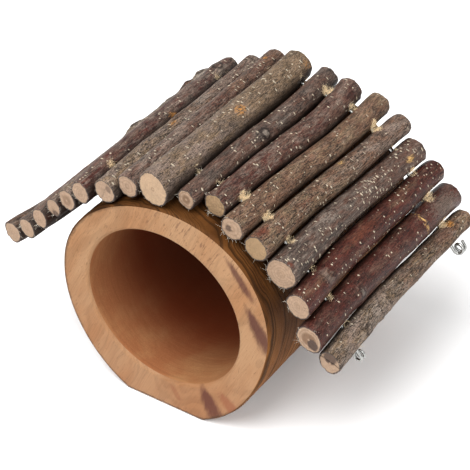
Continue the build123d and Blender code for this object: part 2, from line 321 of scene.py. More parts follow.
def read_cut(node, front):
    """Mean direction and middle of a stick's front saw cut."""
    faces = frame["nodes"][node].data.polygons
    normals = np.array([face.normal for face in faces])
    middles = np.array([face.center for face in faces]) / MM
    on_cut = (normals[:, 1] < -CUT_FACING) & (middles[:, 1] < front + CUT_REACH)
    weights = np.array([face.area for face in faces])[on_cut]
    return [np.average(values[on_cut], axis=0, weights=weights) for values in (normals, middles)]


WIRE_ROWS = [float(np.median(read_lines(wire)[0][:, 1])) for wire in WIRES]
HINGES = [joint for joint in frame["joints"] if joint["type"] == "hinge"]
BORE = next(mount for mount in frame["record"]["mounts"] if mount["kind"] == "bore")
BORE_RADIUS = BORE["dims"]["r_mm"]
BORE_HEIGHT = BORE["pos_m"][2] / MM


def unit(way):
    """A direction in the plane, made 1 long."""
    return way / np.hypot(*way)


def bend_at(index, y):
    """Place of a bend between two sticks at y, as right and up."""
    place, axis = np.array(HINGES[index]["pos_m"]) / MM, np.array(HINGES[index]["axis"])
    return (place + axis * (y - place[1]) / axis[1])[[0, 2]]


class Shape:
    """One stick measured on its solid: centre line, radius, ends, and the ways along the row and outwards"""

    def __init__(self, index):
        node = f"stick_{index + 1:02d}"
        lines = read_lines(node)
        front, back = lines[0][:, 1].min(), lines[0][:, 1].max()
        evenly = np.linspace(front + FRONT_MARGIN, back - BACK_MARGIN, STATIONS)
        stations = [y for y in evenly if min(abs(y - row) for row in WIRE_ROWS) > HOLE_MARGIN]
        rounds = np.array([measure_round(lines, y) for y in stations])
        curves = [Polynomial.fit(stations, column, CURVE_DEGREE) for column in rounds.T]
        self.right, self.up, self.radius = curves
        normal, middle = read_cut(node, front)
        self.slant = normal[0] / normal[1]
        self.front = middle[1] - self.slant * (self.right(middle[1]) - middle[0])
        self.back = back
        self.length = self.back - self.front
        self.index = index
        start, end = self.wire_run(sum(WIRE_ROWS) / 2)
        self.along = unit(end - start)
        self.out = np.array([-self.along[1], self.along[0]])

    def centre(self, y):
        return np.array([self.right(y), self.up(y)])

    def wire_run(self, row):
        """Ends of the straight run of a wire through the stick."""
        middle = sum(self.centre(y) for y in WIRE_ROWS) / 2 if row not in WIRE_ROWS else self.centre(row)
        start = bend_at(self.index - 1, row) if self.index > 0 else middle
        end = bend_at(self.index, row) if self.index < len(HINGES) else middle
        return start, end

    def mouths(self, row):
        """Turns at which the wire hole in that row opens on the left and on the right."""
        start, end = self.wire_run(row)
        run = unit(end - start)
        offset = start - self.centre(row)
        reach = offset @ run
        half = math.sqrt(self.radius(row) ** 2 - (offset @ offset - reach**2))
        points = [offset + run * (side * half - reach) for side in (-1, 1)]
        return [math.atan2(point @ self.along, point @ self.out) for point in points]


SHAPES = [Shape(index) for index in range(len(BRANCHES))]

# Building meshes. Each seed moves the noise by this much.
SEED_STEP = 13.7


def rough(points, seed):
    """Smooth noise from -1 to 1 at each point."""
    moved = np.asarray(points, dtype=float) + SEED_STEP * seed
    values = [noise.noise(point) for point in moved.reshape(-1, 3).tolist()]
    return np.array(values).reshape(moved.shape[:-1])


def ease(value, low, high):
    """Smooth step from 0 at low to 1 at high."""
    share = np.clip((value - low) / (high - low), 0, 1)
    return share * share * (3 - 2 * share)


def strip(first, second, count):
    """Faces between two rings of vertices."""
    return [(first + j, first + (j + 1) % count, second + (j + 1) % count, second + j) for j in range(count)]


def make_piece(name, places, faces, kinds, materials):
    """A smooth mesh object from places in millimetres, with one of the materials on each face."""
    mesh = bpy.data.meshes.new(name)
    mesh.from_pydata((np.asarray(places) * MM).tolist(), [], faces)
    for material in materials:
        mesh.materials.append(material)
    mesh.polygons.foreach_set("material_index", np.asarray(kinds, dtype=np.int32))
    mesh.polygons.foreach_set("use_smooth", np.ones(len(faces), dtype=bool))
    mesh.update()
    return show(name, mesh)


def show(name, mesh):
    """Puts a mesh into the scene."""
    piece = bpy.data.objects.new(name, mesh)
    bpy.context.scene.collection.objects.link(piece)
    return piece


def keep(piece, name, kind, values):
    """Stores values on the piece's points."""
    field = {"FLOAT": "value", "FLOAT_VECTOR": "vector", "FLOAT_COLOR": "color"}[kind]
    attribute = piece.data.attributes.new(name, kind, "POINT")
    attribute.data.foreach_set(field, np.asarray(values, dtype=np.float32).ravel())


# Node trees
SOCKETS = {"value": "NodeSocketFloat", "vector": "NodeSocketVector", "colour": "NodeSocketColor",
           "mesh": "NodeSocketGeometry", "count": "NodeSocketInt", "finish": "NodeSocketMaterial"}
SURFACE = {"colour": ["Color"], "value": ["Height"]}


def add(tree, kind, inputs=None, **settings):
    """Adds a node, sets its options, and links or sets its inputs."""
    node = tree.nodes.new(kind)
    for name, value in settings.items():
        setattr(node, name, value)
    for name, value in (inputs or {}).items():
        if isinstance(value, bpy.types.NodeSocket):
            tree.links.new(value, node.inputs[name])
        else:
            node.inputs[name].default_value = value
    return node


def sums(tree, operation, first, second=0.5, third=0.5):
    return add(tree, "ShaderNodeMath", {0: first, 1: second, 2: third}, operation=operation).outputs[0]


def times(tree, first, second):
    return sums(tree, "MULTIPLY", first, second)


def plus(tree, first, second):
    return sums(tree, "ADD", first, second)


def vectors(tree, operation, first, second=(0.0, 0.0, 0.0)):
    """Result of a sum on vectors. A length, a distance or a product is a value."""
    node = add(tree, "ShaderNodeVectorMath", {0: first, 1: second}, operation=operation)
    return node.outputs["Value" if operation in ("LENGTH", "DISTANCE", "DOT_PRODUCT") else "Vector"]


def axes(tree, vector):
    return add(tree, "ShaderNodeSeparateXYZ", {0: vector}).outputs


def blend_colours(tree, share, first, second, mode="MIX"):
    inputs = {0: share, 6: first, 7: second}
    return add(tree, "ShaderNodeMix", inputs, data_type="RGBA", blend_type=mode).outputs[2]


def grey(tree, tone):
    return add(tree, "ShaderNodeCombineColor", {0: tone, 1: tone, 2: tone}).outputs[0]


def toned(tree, colour, tone):
    """A colour made lighter or darker by a value."""
    return blend_colours(tree, 1.0, colour, grey(tree, tone), "MULTIPLY")


def steps(tree, value, low, high, start=0.0, end=1.0):
    """Smooth step of a value, from start at low to end at high."""
    inputs = {"Value": value, "From Min": low, "From Max": high, "To Min": start, "To Max": end}
    return add(tree, "ShaderNodeMapRange", inputs, interpolation_type="SMOOTHSTEP").outputs[0]


def grain(tree, place, scale, detail=3.0, harsh=0.55, shift=0.0):
    """Noise from 0 to 1, stretched by a scale for each axis in turns per millimetre."""
    moved = vectors(tree, "ADD", place, (shift, shift, shift))
    stretched = vectors(tree, "MULTIPLY", moved, scale)
    inputs = {"Vector": stretched, "Scale": 1.0, "Detail": detail, "Roughness": harsh}
    return add(tree, "ShaderNodeTexNoise", inputs).outputs["Fac"]


def leaned(tree, place, turn):
    """A place turned about the bore, so that the fibres of the wood run up."""
    inputs = {"Vector": place, "Axis": (0.0, 1.0, 0.0), "Angle": turn}
    return add(tree, "ShaderNodeVectorRotate", inputs, rotation_type="AXIS_ANGLE").outputs[0]


def attribute(tree, name):
    return add(tree, "ShaderNodeAttribute", attribute_name=name).outputs


def millimetres(tree):
    place = add(tree, "ShaderNodeTexCoord").outputs["Object"]
    return add(tree, "ShaderNodeVectorMath", {0: place, "Scale": 1 / MM}, operation="SCALE").outputs[0]


def start_group(name, kind, takes, gives):
    """A node group whose inputs and outputs are given as lists of names, by their kind of socket."""
    tree = bpy.data.node_groups.new(name, kind)
    for way, kinds in (("INPUT", takes), ("OUTPUT", gives)):
        for socket, labels in kinds.items():
            for label in labels:
                tree.interface.new_socket(label, in_out=way, socket_type=SOCKETS[socket])
    return tree, add(tree, "NodeGroupInput").outputs


def end_group(tree, results):
    add(tree, "NodeGroupOutput", results)


def place_group(tree, group, inputs):
    return add(tree, "ShaderNodeGroup", inputs, node_tree=bpy.data.node_groups[group]).outputs


def opaque(colour):
    return (*colour, 1.0)


def pick_colours(look, names):
    """Colours of a look for a group's inputs, by the names of both."""
    return {label: opaque(getattr(look, name)) for label, name in names.items()}


def start_material(name):
    material = bpy.data.materials.new(name)
    material.use_nodes = True
    tree = material.node_tree
    return material, tree, tree.nodes["Principled BSDF"]


def finish_material(tree, shader, colour, roughness, height, depth):
    """Feeds a surface with its colour, roughness and a bump of that depth in millimetres."""
    bump = add(tree, "ShaderNodeBump", {"Height": height, "Distance": depth * MM, "Strength": 1.0})
    tree.links.new(colour, shader.inputs["Base Color"])
    tree.links.new(roughness, shader.inputs["Roughness"])
    tree.links.new(bump.outputs[0], shader.inputs["Normal"])


# Shared surface effects
def make_bark_group():
    """Bark that changes from end to end, with streaks, a silvery film, fine fibres, soot and dark furrows, and the
    painted shade stored with the dark marks.
    """
    takes = {"vector": ["Place"], "colour": ["Main", "Back", "Patch", "Film", "Furrow", "Fleck"],
             "value": ["Cavity", "Share", "Bloom", "Coarse", "Soot", "Shift"]}
    gives = {"colour": ["Color", "Tone"], "value": ["Height", "Gloss"]}
    tree, given = start_group("bark", "ShaderNodeTree", takes, gives)
    moved = vectors(tree, "ADD", given["Place"], given["Shift"])
    run = axes(tree, given["Place"])[1]
    slow = grain(tree, moved, (0.16, 0.05, 0.16), 2)
    change = sums(tree, "MULTIPLY_ADD", slow, 60.0, -30.0)
    back = steps(tree, plus(tree, run, change), 35.0, 75.0)
    colour = blend_colours(tree, back, given["Main"], given["Back"])
    streaks = grain(tree, moved, (0.32, 0.1, 0.32), 4, 0.65, 7.0)
    edge = sums(tree, "MULTIPLY_ADD", given["Share"], -0.42, 0.68)
    patch = steps(tree, streaks, plus(tree, edge, -0.12), plus(tree, edge, 0.12))
    colour = blend_colours(tree, patch, colour, given["Patch"])
    veil = grain(tree, moved, (0.8, 0.2, 0.8), 5, 0.65, 19.0)
    thin = times(tree, steps(tree, veil, 0.42, 0.68), given["Bloom"])
    colour = blend_colours(tree, thin, colour, given["Film"])
    fibres = grain(tree, moved, (2.2, 0.36, 2.2), 3, 0.6, 31.0)
    mottle = grain(tree, moved, (1.8, 1.9, 1.8), 4, 0.75, 43.0)
    blotch = grain(tree, moved, (0.2, 0.09, 0.2), 3, 0.55, 57.0)
    lined = steps(tree, fibres, 0.36, 0.64, -0.85, 0.85)
    flecked = steps(tree, mottle, 0.38, 0.62, -0.95, 0.95)
    uneven = times(tree, plus(tree, lined, flecked), given["Coarse"])
    tone = plus(tree, uneven, steps(tree, blotch, 0.32, 0.68, 0.84, 1.36))
    tone = sums(tree, "MAXIMUM", tone, 0.12)
    colour = toned(tree, colour, tone)
    soot = grain(tree, moved, (0.4, 0.13, 0.4), 5, 0.7, 71.0)
    sooty = times(tree, steps(tree, soot, 0.5, 0.7), given["Soot"])
    # Dark furrows, knot scars and soot take the furrow colour, and so does the painted shade at the sides and in
    # the wire holes.
    dark = sums(tree, "MAXIMUM", given["Cavity"], sooty)
    colour = blend_colours(tree, dark, colour, given["Furrow"])
    squeezed = vectors(tree, "MULTIPLY", moved, (1.0, 1.5, 1.0))
    cells = {"Vector": squeezed, "Scale": 0.6, "Randomness": 1.0}
    away = add(tree, "ShaderNodeTexVoronoi", cells).outputs["Distance"]
    fleck = times(tree, steps(tree, away, 0.2, 0.1), steps(tree, mottle, 0.45, 0.62, 0.0, 0.5))
    bright = times(tree, fleck, sums(tree, "SUBTRACT", 1.0, given["Cavity"]))
    colour = blend_colours(tree, bright, colour, given["Fleck"])
    height = times(tree, plus(tree, times(tree, fibres, 0.8), mottle), given["Coarse"])
    gloss = steps(tree, veil, 0.4, 0.7, -0.06, 0.12)
    end_group(tree, {"Color": colour, "Tone": grey(tree, tone), "Height": height, "Gloss": gloss})


def make_cut_group():
    """A sawn end: growth rings, a pith, a darker heart, a stain, saw marks and the edge of the bark."""
    takes = {"vector": ["Place", "Stain Place"], "colour": ["Wood", "Heart", "Stain", "Bark"],
             "value": ["Edge", "Ring", "Ring Gap", "Heart Share", "Heart Reach", "Stain Share", "Stain Reach",
                       "Bark Share", "Shift"]}
    tree, given = start_group("sawn_end", "ShaderNodeTree", takes, SURFACE)
    moved = vectors(tree, "ADD", given["Place"], given["Shift"])
    wobble = grain(tree, moved, (0.35, 0.35, 0.35), 3)
    across = vectors(tree, "MULTIPLY", given["Place"], (1.0, 0.0, 1.0))
    reach = vectors(tree, "LENGTH", across)
    swayed = plus(tree, reach, times(tree, wobble, 1.6))
    phase = times(tree, sums(tree, "DIVIDE", swayed, given["Ring Gap"]), 2 * math.pi)
    wave = steps(tree, sums(tree, "SINE", phase), -0.2, 1.0)
    fine = grain(tree, moved, (3.2, 3.2, 3.2), 5, 0.7, 5.0)
    saw = grain(tree, moved, (5.0, 0.4, 0.5), 2, 0.5, 11.0)
    broad = grain(tree, moved, (0.5, 0.5, 0.5), 3, 0.6, 23.0)
    rings = times(tree, wave, given["Ring"])
    colour = blend_colours(tree, times(tree, rings, 0.55), given["Wood"], given["Heart"])
    inner = times(tree, given["Heart Reach"], 0.6)
    heart = steps(tree, plus(tree, given["Edge"], times(tree, wobble, 0.2)), given["Heart Reach"], inner)
    colour = blend_colours(tree, times(tree, heart, given["Heart Share"]), colour, given["Heart"])
    gap = vectors(tree, "DISTANCE", across, given["Stain Place"])
    blot = plus(tree, gap, times(tree, broad, 1.4))
    blot = steps(tree, blot, plus(tree, given["Stain Reach"], 0.9), given["Stain Reach"])
    colour = blend_colours(tree, times(tree, blot, given["Stain Share"]), colour, given["Stain"])
    pith = steps(tree, reach, 0.62, 0.36)
    colour = blend_colours(tree, times(tree, pith, 0.75), colour, given["Wood"])
    tone = times(tree, steps(tree, fine, 0.3, 0.7, 0.86, 1.1), steps(tree, saw, 0.3, 0.7, 0.92, 1.06))
    tone = times(tree, tone, steps(tree, broad, 0.3, 0.7, 0.9, 1.06))
    colour = toned(tree, colour, tone)
    torn_edge = plus(tree, given["Edge"], steps(tree, fine, 0.2, 0.8, -0.05, 0.05))
    bark = steps(tree, torn_edge, given["Bark Share"], plus(tree, given["Bark Share"], 0.025))
    colour = blend_colours(tree, bark, colour, given["Bark"])
    end_group(tree, {"Color": colour, "Height": plus(tree, fine, times(tree, saw, 0.8))})


def make_wood_group():
    """Turned wood: fibres that run across the bore, growth lines, pores and slow changes of tone."""
    takes = {"vector": ["Place"], "colour": ["Pale", "Warm", "Line"],
             "value": ["Line Share", "Pore Share", "Turn", "Ring Gap"]}
    tree, given = start_group("turned_wood", "ShaderNodeTree", takes, SURFACE)
    leaning = leaned(tree, given["Place"], given["Turn"])
    warp = grain(tree, leaning, (0.03, 0.03, 0.012), 3, 0.5)
    from_pith = vectors(tree, "SUBTRACT", leaning, (20.0, 75.0, 0.0))
    reach = vectors(tree, "LENGTH", vectors(tree, "MULTIPLY", from_pith, (1.0, 1.0, 0.0)))
    swayed = plus(tree, reach, times(tree, warp, 22.0))
    upwards = axes(tree, leaning)[2]
    layer = {0: sums(tree, "DIVIDE", swayed, given["Ring Gap"]), 1: times(tree, upwards, 0.012)}
    layered = add(tree, "ShaderNodeCombineXYZ", layer).outputs[0]
    wave = steps(tree, grain(tree, layered, (1.0, 1.0, 1.0), 4, 0.65, 2.0), 0.46, 0.6)
    broad = grain(tree, leaning, (0.07, 0.05, 0.02), 3, 0.55, 3.0)
    fibres = grain(tree, leaning, (2.6, 2.6, 0.1), 4, 0.6, 17.0)
    pores = grain(tree, leaning, (1.9, 1.9, 0.4), 3, 0.6, 29.0)
    colour = blend_colours(tree, steps(tree, broad, 0.35, 0.68), given["Pale"], given["Warm"])
    lines = times(tree, wave, given["Line Share"])
    colour = blend_colours(tree, lines, colour, given["Line"])
    colour = toned(tree, colour, steps(tree, fibres, 0.3, 0.7, 0.9, 1.08))
    pits = times(tree, steps(tree, pores, 0.62, 0.7), given["Pore Share"])
    colour = blend_colours(tree, times(tree, pits, 0.6), colour, given["Line"])
    height = sums(tree, "SUBTRACT", fibres, plus(tree, pits, times(tree, lines, 0.4)))
    end_group(tree, {"Color": colour, "Height": height})


def make_streak_group():
    """Mask of one dark streak: 1 inside a long soft patch about a point, 0 outside."""
    takes = {"vector": ["Place", "Middle", "Along", "Across"], "value": ["Wedge"]}
    tree, given = start_group("streak_mask", "ShaderNodeTree", takes, {"value": ["Mask"]})
    offset = vectors(tree, "SUBTRACT", given["Place"], given["Middle"])
    run = vectors(tree, "DOT_PRODUCT", offset, given["Along"])
    side = vectors(tree, "DOT_PRODUCT", offset, given["Across"])
    side = sums(tree, "DIVIDE", side, plus(tree, times(tree, run, given["Wedge"]), 1.0))
    wobble = grain(tree, given["Place"], (0.9, 0.2, 0.25), 4, 0.6)
    long = sums(tree, "POWER", sums(tree, "ABSOLUTE", run), 2.6)
    wide = sums(tree, "POWER", sums(tree, "ABSOLUTE", side), 2.0)
    both = sums(tree, "SQRT", plus(tree, long, wide))
    torn = plus(tree, both, steps(tree, wobble, 0.25, 0.75, -0.14, 0.14))
    end_group(tree, {"Mask": steps(tree, torn, 1.2, 0.4)})


# Materials
def make_bark(look, index, branch):
    material, tree, shader = start_material(f"bark_{index + 1:02d}")
    place = attribute(tree, "place")["Vector"]
    inputs = pick_colours(look, {"Main": branch.main, "Back": branch.back, "Patch": branch.patch,
                                 "Film": "film", "Furrow": "furrow", "Fleck": "dot"})
    inputs |= {"Place": place, "Cavity": attribute(tree, "cavity")["Fac"], "Share": branch.share,
               "Bloom": branch.bloom, "Coarse": branch.coarse, "Soot": branch.soot, "Shift": 37.0 * index}
    bark = place_group(tree, "bark", inputs)
    spot = attribute(tree, "spot")
    break_up = grain(tree, place, (1.1, 0.8, 1.1), 4, 0.65, 61.0 * index)
    share = plus(tree, spot["Alpha"], steps(tree, break_up, 0.25, 0.75, -0.45, 0.45))
    share = times(tree, steps(tree, share, 0.35, 0.65), spot["Alpha"])
    marked = blend_colours(tree, 0.75, spot["Color"], bark["Tone"], "MULTIPLY")
    colour = blend_colours(tree, share, bark["Color"], marked)
    shader.inputs["Specular IOR Level"].default_value = 0.18
    finish_material(tree, shader, colour, plus(tree, bark["Gloss"], branch.rough), bark["Height"], 0.25)
    return material


def make_cut(look, index, branch):
    material, tree, shader = start_material(f"sawn_end_{index + 1:02d}")
    cut, shape = branch.cut, SHAPES[index]
    bark_share = look.bark_edge / MM / shape.radius(shape.front + 1)
    inputs = pick_colours(look, {"Wood": cut.wood, "Heart": "heart", "Stain": "stain", "Bark": "dark"})
    inputs |= {"Place": attribute(tree, "cut_place")["Vector"], "Edge": attribute(tree, "edge")["Fac"],
               "Ring": cut.ring, "Ring Gap": cut.ring_gap, "Heart Share": cut.heart,
               "Heart Reach": cut.heart_reach, "Stain Share": cut.stain,
               "Stain Place": (cut.stain_right, 0.0, cut.stain_up), "Stain Reach": cut.stain_reach,
               "Bark Share": 1 - bark_share, "Shift": 29.0 * index}
    sawn = place_group(tree, "sawn_end", inputs)
    crack = attribute(tree, "crack")["Fac"]
    colour = blend_colours(tree, crack, sawn["Color"], opaque(look.furrow))
    roughness = steps(tree, sawn["Height"], 0.4, 1.4, 0.72, 0.88)
    finish_material(tree, shader, colour, roughness, sawn["Height"], 0.16)
    return material


def speckled(tree, scale, low, high):
    """A fine speckle, and tones from low to high that follow it."""
    speckle = grain(tree, millimetres(tree), scale, 3, 0.6)
    return speckle, steps(tree, speckle, 0.3, 0.7, low, high)


def make_plain(name, colour, low, high, roughness, scale):
    """One colour with a speckle of lighter and darker tones."""
    material, tree, shader = start_material(name)
    speckle, tone = speckled(tree, scale, low, high)
    dull = steps(tree, speckle, 0.3, 0.7, roughness - 0.05, roughness + 0.05)
    finish_material(tree, shader, toned(tree, opaque(colour), tone), dull, speckle, 0.05)
    return material


def make_fibre(look):
    """Torn fibres: pale fuzz at the saw cuts and straw where the wire holes are torn."""
    material, tree, shader = start_material("torn_fibre")
    speckle, tone = speckled(tree, (1.5, 1.5, 1.5), 0.75, 1.2)
    in_tuft = steps(tree, attribute(tree, "torn")["Fac"], 0.02, 0.1)
    colour = toned(tree, blend_colours(tree, in_tuft, opaque(look.fuzz), opaque(look.tuft)), tone)
    finish_material(tree, shader, colour, steps(tree, speckle, 0.3, 0.7, 0.7, 0.85), speckle, 0.02)
    return material


def make_steel(look):
    material, tree, shader = start_material("bright_wire")
    drawn = grain(tree, millimetres(tree), (2.0, 2.0, 2.0), 3, 0.6)
    shade = opaque([0.8 * part for part in look.steel])
    colour = blend_colours(tree, steps(tree, drawn, 0.35, 0.65), opaque(look.steel), shade)
    shader.inputs["Metallic"].default_value = 1.0
    finish_material(tree, shader, colour, steps(tree, drawn, 0.3, 0.7, 0.2, 0.34), drawn, 0.02)
    return material


def make_wood(look, name, pale, warm, line_share, pore_share, roughness, sheen, extra):
    """Turned wood for one side of the tunnel. Extra changes the colour and height before they are used."""
    material, tree, shader = start_material(name)
    place = millimetres(tree)
    inputs = pick_colours(look, {"Pale": pale, "Warm": warm, "Line": "line"})
    inputs |= {"Place": place, "Line Share": line_share, "Pore Share": pore_share, "Turn": look.grain_turn,
               "Ring Gap": look.ring_gap / MM}
    wood = place_group(tree, "turned_wood", inputs)
    colour, height = extra(look, tree, place, wood["Color"], wood["Height"])
    shader.inputs["Specular IOR Level"].default_value = sheen
    dull = steps(tree, wood["Height"], 0.0, 0.8, roughness + 0.06, roughness - 0.06)
    finish_material(tree, shader, colour, dull, height, 0.12)
    return material


def add_streaks(look, tree, place, colour, height):
    """Dark streaks, a lower part reddened and darkened as painted shade, open pores at the upper right, a dark rim
    at left and foot that is partly stain and partly painted shade.
    """
    for streak in STREAKS:
        start, end = np.array(streak.start), np.array(streak.end)
        middle, along = (start + end) / 2, (end - start) / 2
        half = np.hypot(*along)
        across = np.array([along[1], -along[0]]) / half / streak.half_width
        along = along / half**2
        ways = {"Middle": middle, "Along": along, "Across": across}
        inputs = {label: (way[0], 0.0, way[1]) for label, way in ways.items()}
        mask = place_group(tree, "streak_mask", inputs | {"Place": place, "Wedge": streak.wedge})["Mask"]
        share = times(tree, mask, streak.strength)
        colour = blend_colours(tree, share, colour, opaque(getattr(look, streak.colour)))
    right, _, up = axes(tree, place)
    # Painted shade: the face turns rust-red and darker towards the foot, fading out 60 mm up.
    colour = blend_colours(tree, steps(tree, up, 0.0, 60.0, 0.2, 0.0), colour, opaque(look.rust))
    leaning = leaned(tree, place, look.grain_turn)
    pores = steps(tree, grain(tree, leaning, (1.5, 1.5, 0.28), 2, 0.5, 41.0), 0.58, 0.68, 0.0, 0.5)
    open_grain = times(tree, steps(tree, up, 60.0, 84.0), steps(tree, right, -25.0, 5.0))
    colour = blend_colours(tree, times(tree, pores, open_grain), colour, opaque(look.streak))
    uneven = grain(tree, place, (0.3, 0.3, 0.3), 4, 0.65, 15.0)
    ragged = steps(tree, uneven, 0.3, 0.7, -0.4, 0.4)
    from_rim = plus(tree, attribute(tree, "from_rim")["Fac"], ragged)
    # A dark rim at left and foot, partly stain and partly painted shade.
    shaded = sums(tree, "MAXIMUM", steps(tree, right, -8.0, -35.0), steps(tree, up, 16.0, 5.0))
    lower_left_edge = times(tree, steps(tree, from_rim, 1.2, 0.1, 0.0, 0.6), shaded)
    return blend_colours(tree, lower_left_edge, colour, opaque(look.line)), height


def add_painted_shade_under_bridge(look, tree, place, colour, height):
    """Painted shade: the outer wall darkens towards the top, where the bridge shades it."""
    up = axes(tree, place)[2]
    return toned(tree, colour, steps(tree, up, 20.0, 75.0, 1.0, 0.45)), height


def add_turning_marks_and_painted_shade(look, tree, place, colour, height):
    """Turning marks, and painted shade: the bore wall darkens and reddens away from the mouths."""
    marks = grain(tree, place, (0.012, 1.1, 0.012), 4, 0.65, 9.0)
    colour = toned(tree, colour, steps(tree, marks, 0.3, 0.7, 0.94, 1.05))
    run = axes(tree, place)[1]
    # Painted shade, strongest at the middle of the bore.
    painted_deep_shade = steps(tree, sums(tree, "ABSOLUTE", run), 49.0, 14.0)
    colour = blend_colours(tree, times(tree, painted_deep_shade, 0.92), colour, opaque(look.painted_deep_shade))
    return colour, plus(tree, height, marks)


# Geometry node trees. Dots keep this distance from each other.
DOT_SPACING = 0.9 * MM
MESH = {"mesh": ["Mesh"]}


def stored(tree, name, kind="FLOAT"):
    return add(tree, "GeometryNodeInputNamedAttribute", {"Name": name}, data_type=kind).outputs[0]


def random_value(tree, low, high, seed):
    inputs = {2: low, 3: high, "Seed": seed}
    return add(tree, "FunctionNodeRandomValue", inputs, data_type="FLOAT").outputs[1]


def aligned(tree, inputs, **settings):
    return add(tree, "FunctionNodeAlignRotationToVector", inputs, **settings).outputs[0]


def three(tree, inputs):
    return add(tree, "ShaderNodeCombineXYZ", inputs).outputs[0]


def end_tree(tree, mesh, material):
    """Makes a geometry tree's copies real and gives them their material."""
    real = add(tree, "GeometryNodeRealizeInstances", {"Geometry": mesh}).outputs[0]
    painted = add(tree, "GeometryNodeSetMaterial", {"Geometry": real, "Material": material}).outputs[0]
    end_group(tree, {"Mesh": painted})
    return tree


def end_scatter(tree, points, shape, rotation, size, material):
    """Ends a geometry tree with a copy of the shape at each point."""
    inputs = {"Points": points, "Instance": shape, "Rotation": rotation, "Scale": size}
    return end_tree(tree, add(tree, "GeometryNodeInstanceOnPoints", inputs).outputs[0], material)


def make_dot_tree():
    """Raised dots scattered over the bark, lying across the stick."""
    takes = {**MESH, "value": ["Density", "Size", "Stretch"], "count": ["Seed"], "finish": ["Material"]}
    tree, given = start_group("bark_dots", "GeometryNodeTree", takes, MESH)
    inputs = {"Mesh": given["Mesh"], "Distance Min": DOT_SPACING, "Density Max": given["Density"],
              "Density Factor": stored(tree, "dots"), "Seed": given["Seed"]}
    spread = add(tree, "GeometryNodeDistributePointsOnFaces", inputs, distribute_method="POISSON").outputs
    upright = aligned(tree, {"Vector": spread["Normal"]}, axis="Z")
    across = aligned(tree, {"Rotation": upright, "Vector": (0.0, 1.0, 0.0)}, axis="Y", pivot_axis="Z")
    width = random_value(tree, 0.4, 2.0, given["Seed"])
    length = random_value(tree, 0.6, 1.5, 7)
    wide = times(tree, times(tree, given["Size"], given["Stretch"]), width)
    long = times(tree, given["Size"], length)
    size = three(tree, {0: wide, 1: long, 2: times(tree, long, 0.35)})
    dot = add(tree, "GeometryNodeMeshUVSphere", {"Segments": 8, "Rings": 4, "Radius": 1.0}).outputs["Mesh"]
    smooth = add(tree, "GeometryNodeSetShadeSmooth", {"Geometry": dot}).outputs[0]
    return end_scatter(tree, spread["Points"], smooth, across, size, given["Material"])


def make_splinter_tree():
    """Torn wood fibres: thin bent spikes that stand the way the piece says."""
    takes = {**MESH, "value": ["Density", "Length", "Half Width"], "count": ["Seed"], "finish": ["Material"]}
    tree, given = start_group("splinters", "GeometryNodeTree", takes, MESH)
    density = times(tree, stored(tree, "fray"), given["Density"])
    inputs = {"Mesh": given["Mesh"], "Density": density, "Seed": given["Seed"]}
    spread = add(tree, "GeometryNodeDistributePointsOnFaces", inputs, distribute_method="RANDOM").outputs
    spans = {0: (-1.0, -1.0, -1.0), 1: (1.0, 1.0, 1.0), "Seed": given["Seed"]}
    stray = add(tree, "FunctionNodeRandomValue", spans, data_type="FLOAT_VECTOR").outputs[0]
    heading = vectors(tree, "ADD", stored(tree, "fray_way", "FLOAT_VECTOR"), stray)
    stood = aligned(tree, {"Vector": heading}, axis="Z")
    length = random_value(tree, 0.4, 1.0, 3)
    tall = times(tree, sums(tree, "POWER", length, 2.5), given["Length"])
    size = three(tree, {0: given["Half Width"], 1: given["Half Width"], 2: tall})
    spike = {"Vertices": 4, "Side Segments": 3, "Radius Top": 0.15, "Radius Bottom": 1.0, "Depth": 1.0}
    cone = add(tree, "GeometryNodeMeshCone", spike).outputs["Mesh"]
    height = axes(tree, add(tree, "GeometryNodeInputPosition").outputs[0])[2]
    lean = three(tree, {0: times(tree, sums(tree, "POWER", height, 2.0), 4.0)})
    bent = add(tree, "GeometryNodeSetPosition", {"Geometry": cone, "Offset": lean}).outputs[0]
    return end_scatter(tree, spread["Points"], bent, stood, size, given["Material"])


def make_wire_tree():
    """A round wire along a line of points."""
    takes = {"mesh": ["Line"], "value": ["Radius"], "finish": ["Material"]}
    tree, given = start_group("drawn_wire", "GeometryNodeTree", takes, MESH)
    curve = add(tree, "GeometryNodeMeshToCurve", {"Mesh": given["Line"]}).outputs[0]
    ring = {"Resolution": 20, "Radius": given["Radius"]}
    circle = add(tree, "GeometryNodeCurvePrimitiveCircle", ring).outputs[0]
    inputs = {"Curve": curve, "Profile Curve": circle, "Fill Caps": True}
    tube = add(tree, "GeometryNodeCurveToMesh", inputs).outputs[0]
    smooth = add(tree, "GeometryNodeSetShadeSmooth", {"Geometry": tube}).outputs[0]
    return end_tree(tree, smooth, given["Material"])


def grow(name, source, tree, values):
    """Runs a geometry node tree on a mesh and returns the result as a plain mesh object."""
    carrier = show(name + ".source", source)
    modifier = carrier.modifiers.new(tree.name, "NODES")
    modifier.node_group = tree
    names = {item.name: item.identifier for item in tree.interface.items_tree if item.in_out == "INPUT"}
    for label, value in values.items():
        modifier[names[label]] = value
    depsgraph = bpy.context.evaluated_depsgraph_get()
    mesh = bpy.data.meshes.new_from_object(carrier.evaluated_get(depsgraph))
    mesh.name = name
    bpy.data.objects.remove(carrier)
    return show(name, mesh)


# Sticks, in millimetres. Extra rings of points stand at the ends and round the wire holes.
END_STEPS = np.array([0.1, 0.25])
HOLE_STEPS = np.linspace(-1.5, 1.5, 13)
# Depth of a wire hole's mouth, and how high the bark may rise at the sides and how much more on top
HOLE_DEPTH = 2.4
SIDE_ROOM = 0.12
TOP_ROOM = 2.9
# Length over which the slant of the front cut fades, and how far the back cut's pattern is moved
SLANT_REACH = 12
BACK_CUT_SHIFT = 40.0
# The side on which fuzz is thickest at a saw cut, as right and up
WORN_SIDE = np.array([-0.75, -0.66])
